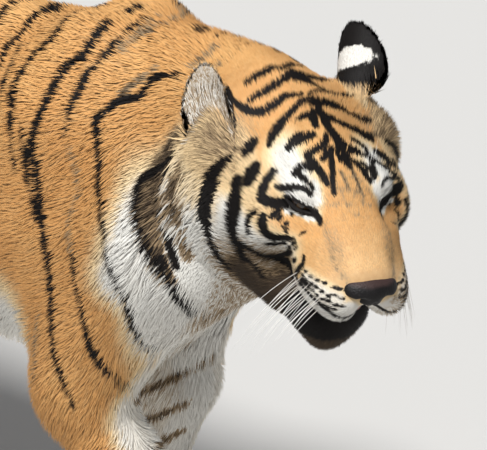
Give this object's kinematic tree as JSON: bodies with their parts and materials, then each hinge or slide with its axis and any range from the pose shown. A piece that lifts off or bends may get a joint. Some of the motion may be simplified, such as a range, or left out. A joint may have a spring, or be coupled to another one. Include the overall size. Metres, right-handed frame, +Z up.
{
  "type": "tiger",
  "caption": "Life-size tiger walking with its head lowered and turned to its right, a still display model that stands on its four paws.",
  "frame": {"origin": "on the floor under the middle of the whole animal's outline", "axes": "+Z up; the tiger walks along -Y; its left side is at +X"},
  "size_m": [0.4078, 2.1872, 0.9903],
  "materials": {
    "coat": "orange fur with black stripes and white underparts",
    "eye": "glossy amber with a round black pupil",
    "nose": "damp pebbled leather",
    "tongue": "moist"
  },
  "bodies": {
    "root": {"muzzle": "coat", "head": "coat", "neck": "coat", "trunk": "coat", "tail_base": "coat", "tail_end": "coat", "upper_arm_left": "coat", "upper_arm_right": "coat", "forearm_left": "coat", "forearm_right": "coat", "forepaw_left": "coat", "forepaw_right": "coat", "thigh_left": "coat", "thigh_right": "coat", "shank_left": "coat", "shank_right": "coat", "hindpaw_left": "coat", "hindpaw_right": "coat", "ear_left": "coat", "ear_right": "coat", "eye_left": "eye", "eye_right": "eye", "nose_leather": "nose", "tongue": "tongue"}
  },
  "joints": []
}
